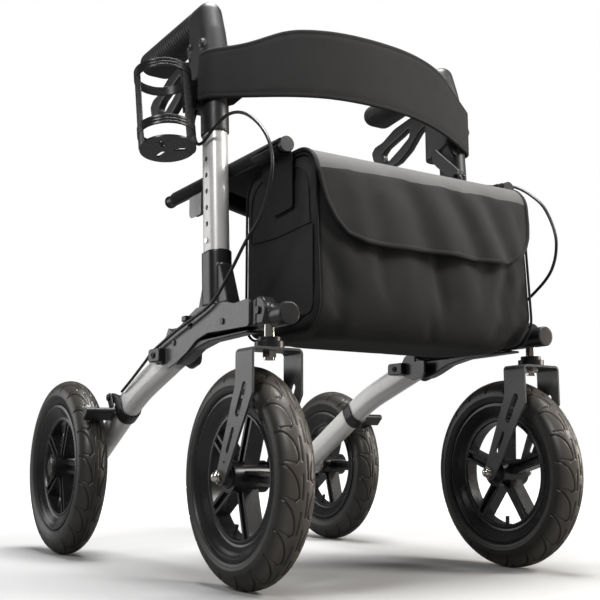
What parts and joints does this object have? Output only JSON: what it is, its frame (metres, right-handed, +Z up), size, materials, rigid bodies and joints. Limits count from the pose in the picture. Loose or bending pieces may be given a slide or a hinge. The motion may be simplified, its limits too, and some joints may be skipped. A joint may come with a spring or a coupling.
{
  "type": "all terrain rollator",
  "caption": "Folding all terrain walking frame with wheels on swivel forks, sliding brake handles, a seat, a backrest strap, a bag and a cup holder.",
  "frame": {"origin": "on the floor under the middle of the rollator's overall box", "axes": "+Z up; the front with the bag and the swivel wheels faces -Y; the cup holder is at -X"},
  "size_m": [0.6956, 0.9, 0.9044],
  "materials": {
    "tyre_rubber": "matt rubber with moulded sipes",
    "rim_black": "satin moulded black",
    "chrome": "bright",
    "plate_grey": "satin dark grey",
    "black_plastic": "satin black",
    "silver_tube": "satin anodised, warm silver",
    "black_steel": "satin black",
    "cable_black": "satin black sheath",
    "fork_black": "satin dark grey powder coat",
    "housing_black": "satin charcoal",
    "grip_rubber": "matt",
    "rail_black": "satin black powder coat",
    "strap_fabric": "padded charcoal strap, bare",
    "seat_fabric": "taut woven black",
    "bag_fabric": "woven charcoal",
    "cup_plastic": "satin black"
  },
  "bodies": {
    "left_frame": {"left_side_plates": "plate_grey", "left_front_block": "black_plastic", "left_post_sleeve": "black_plastic", "left_post": "silver_tube", "left_rear_leg": "silver_tube", "left_frame_screws": "black_steel", "left_caster_stem": "chrome", "left_brake_collar": "black_plastic", "left_brake_cable": "cable_black", "left_frame_trim": "black_plastic", "left_rear_axle": "chrome"},
    "left_caster": {"left_fork": "fork_black", "left_caster_bearing": "black_plastic", "left_front_axle": "chrome"},
    "left_front_wheel": {"left_front_tyre": "tyre_rubber", "left_front_rim": "rim_black"},
    "left_rear_wheel": {"left_rear_tyre": "tyre_rubber", "left_rear_rim": "rim_black"},
    "left_handle": {"left_handle_stem": "black_steel", "left_handle_housing": "housing_black", "left_grip": "grip_rubber", "cup_holder": "cup_plastic"},
    "left_brake_lever": {"left_brake_lever": "black_plastic"},
    "left_brake_arm": {"left_brake_arm": "black_plastic"},
    "left_snap_button": {"left_snap_button": "chrome"},
    "backrest_left": {"backrest_left_half": "strap_fabric"},
    "right_frame": {"right_side_plates": "plate_grey", "right_front_block": "black_plastic", "right_post_sleeve": "black_plastic", "right_post": "silver_tube", "right_rear_leg": "silver_tube", "right_frame_screws": "black_steel", "right_caster_stem": "chrome", "right_brake_collar": "black_plastic", "right_brake_cable": "cable_black", "right_frame_trim": "black_plastic", "right_rear_axle": "chrome"},
    "right_caster": {"right_fork": "fork_black", "right_caster_bearing": "black_plastic", "right_front_axle": "chrome"},
    "right_front_wheel": {"right_front_tyre": "tyre_rubber", "right_front_rim": "rim_black"},
    "right_rear_wheel": {"right_rear_tyre": "tyre_rubber", "right_rear_rim": "rim_black"},
    "right_handle": {"right_handle_stem": "black_steel", "right_handle_housing": "housing_black", "right_grip": "grip_rubber"},
    "right_brake_lever": {"right_brake_lever": "black_plastic"},
    "right_brake_arm": {"right_brake_arm": "black_plastic"},
    "right_snap_button": {"right_snap_button": "chrome"},
    "backrest_right": {"backrest_right_half": "strap_fabric"},
    "brace_a": {"cross_brace_a": "rail_black", "right_seat_rail": "rail_black", "cross_pivot_bolt": "chrome"},
    "brace_b": {"cross_brace_b": "rail_black", "left_seat_rail": "rail_black", "seat_fabric": "seat_fabric"},
    "bag": {"bag_body": "bag_fabric"},
    "bag_flap": {"bag_flap": "bag_fabric"}
  },
  "joints": [
    {"name": "fold", "type": "hinge", "parent": "left_frame", "child": "brace_a", "pos_m": [-0.22485, -0.17355, 0.369], "axis": [0, -1, 0], "range_deg": [0, 45], "deforming": ["seat_fabric", "bag_body", "bag_flap", "backrest_left_half", "backrest_right_half"]},
    {"name": "brace_cross", "type": "hinge", "parent": "brace_a", "child": "brace_b", "pos_m": [0.01715, -0.12655, 0.44], "axis": [0, -1, 0], "range_deg": [-90, 0]},
    {"name": "right_frame_hinge", "type": "hinge", "parent": "brace_b", "child": "right_frame", "pos_m": [0.25915, -0.17355, 0.369], "axis": [0, -1, 0], "range_deg": [0, 45]},
    {"name": "bag_hanger", "type": "hinge", "parent": "brace_b", "child": "bag", "pos_m": [-0.20085, -0.32355, 0.62], "axis": [0, -1, 0], "range_deg": [0, 45]},
    {"name": "bag_flap_open", "type": "hinge", "parent": "bag", "child": "bag_flap", "pos_m": [0.01715, -0.29955, 0.6063], "axis": [-1, 0, 0], "range_deg": [0, 90]},
    {"name": "left_caster_swivel", "type": "hinge", "parent": "left_frame", "child": "left_caster", "pos_m": [-0.23185, -0.35955, 0.33], "axis": [0, 0, 1], "continuous": true},
    {"name": "left_front_wheel_spin", "type": "hinge", "parent": "left_caster", "child": "left_front_wheel", "pos_m": [-0.23185, -0.29755, 0.1525], "axis": [1, 0, 0], "continuous": true},
    {"name": "left_rear_wheel_spin", "type": "hinge", "parent": "left_frame", "child": "left_rear_wheel", "pos_m": [-0.28155, 0.29105, 0.159], "axis": [1, 0, 0], "continuous": true},
    {"name": "left_handle_height", "type": "slide", "parent": "left_frame", "child": "left_handle", "axis": [0, 0.0576, 0.9983], "range_m": [0, 0.13], "deforming": ["left_brake_cable", "left_snap_button"]},
    {"name": "left_brake_squeeze", "type": "hinge", "parent": "left_handle", "child": "left_brake_lever", "pos_m": [-0.22985, -0.13467, 0.81152], "axis": [1, 0, 0], "range_deg": [0, 11], "stiffness_Nm_per_rad": 1.5},
    {"name": "left_brake_press", "type": "hinge", "parent": "left_frame", "child": "left_brake_arm", "pos_m": [-0.27285, 0.16164, 0.2819], "axis": [1, 0, 0], "range_deg": [0, 6]},
    {"name": "left_button_press", "type": "slide", "parent": "left_handle", "child": "left_snap_button", "axis": [1, 0, 0], "range_m": [0, 0.005], "stiffness_N_per_m": 800},
    {"name": "backrest_left_swing", "type": "hinge", "parent": "left_handle", "child": "backrest_left", "pos_m": [-0.22985, -0.18667, 0.78], "axis": [0, 0, -1], "range_deg": [0, 41]},
    {"name": "right_caster_swivel", "type": "hinge", "parent": "right_frame", "child": "right_caster", "pos_m": [0.26615, -0.35955, 0.33], "axis": [0, 0, 1], "continuous": true},
    {"name": "right_front_wheel_spin", "type": "hinge", "parent": "right_caster", "child": "right_front_wheel", "pos_m": [0.26615, -0.29755, 0.1525], "axis": [1, 0, 0], "continuous": true},
    {"name": "right_rear_wheel_spin", "type": "hinge", "parent": "right_frame", "child": "right_rear_wheel", "pos_m": [0.31585, 0.29105, 0.159], "axis": [1, 0, 0], "continuous": true},
    {"name": "right_handle_height", "type": "slide", "parent": "right_frame", "child": "right_handle", "axis": [0, 0.0576, 0.9983], "range_m": [0, 0.13], "deforming": ["right_brake_cable", "right_snap_button"]},
    {"name": "right_brake_squeeze", "type": "hinge", "parent": "right_handle", "child": "right_brake_lever", "pos_m": [0.26415, -0.13467, 0.81152], "axis": [1, 0, 0], "range_deg": [0, 11], "stiffness_Nm_per_rad": 1.5},
    {"name": "right_brake_press", "type": "hinge", "parent": "right_frame", "child": "right_brake_arm", "pos_m": [0.30715, 0.16164, 0.2819], "axis": [1, 0, 0], "range_deg": [0, 6]},
    {"name": "right_button_press", "type": "slide", "parent": "right_handle", "child": "right_snap_button", "axis": [-1, 0, 0], "range_m": [0, 0.005], "stiffness_N_per_m": 800},
    {"name": "backrest_right_swing", "type": "hinge", "parent": "right_handle", "child": "backrest_right", "pos_m": [0.26415, -0.18667, 0.78], "axis": [0, 0, 1], "range_deg": [0, 41]}
  ],
  "couplings": [
    {"joint": "brace_cross", "follows": "fold", "ratio": -2},
    {"joint": "right_frame_hinge", "follows": "fold", "ratio": 1},
    {"joint": "bag_hanger", "follows": "fold", "ratio": 1},
    {"joint": "left_brake_press", "follows": "left_brake_squeeze", "ratio": 0.54546},
    {"joint": "backrest_left_swing", "follows": "fold", "ratio": 0.901},
    {"joint": "right_brake_press", "follows": "right_brake_squeeze", "ratio": 0.54546},
    {"joint": "backrest_right_swing", "follows": "fold", "ratio": 0.901},
    {"joint": "right_handle_height", "follows": "left_handle_height", "ratio": 1}
  ]
}
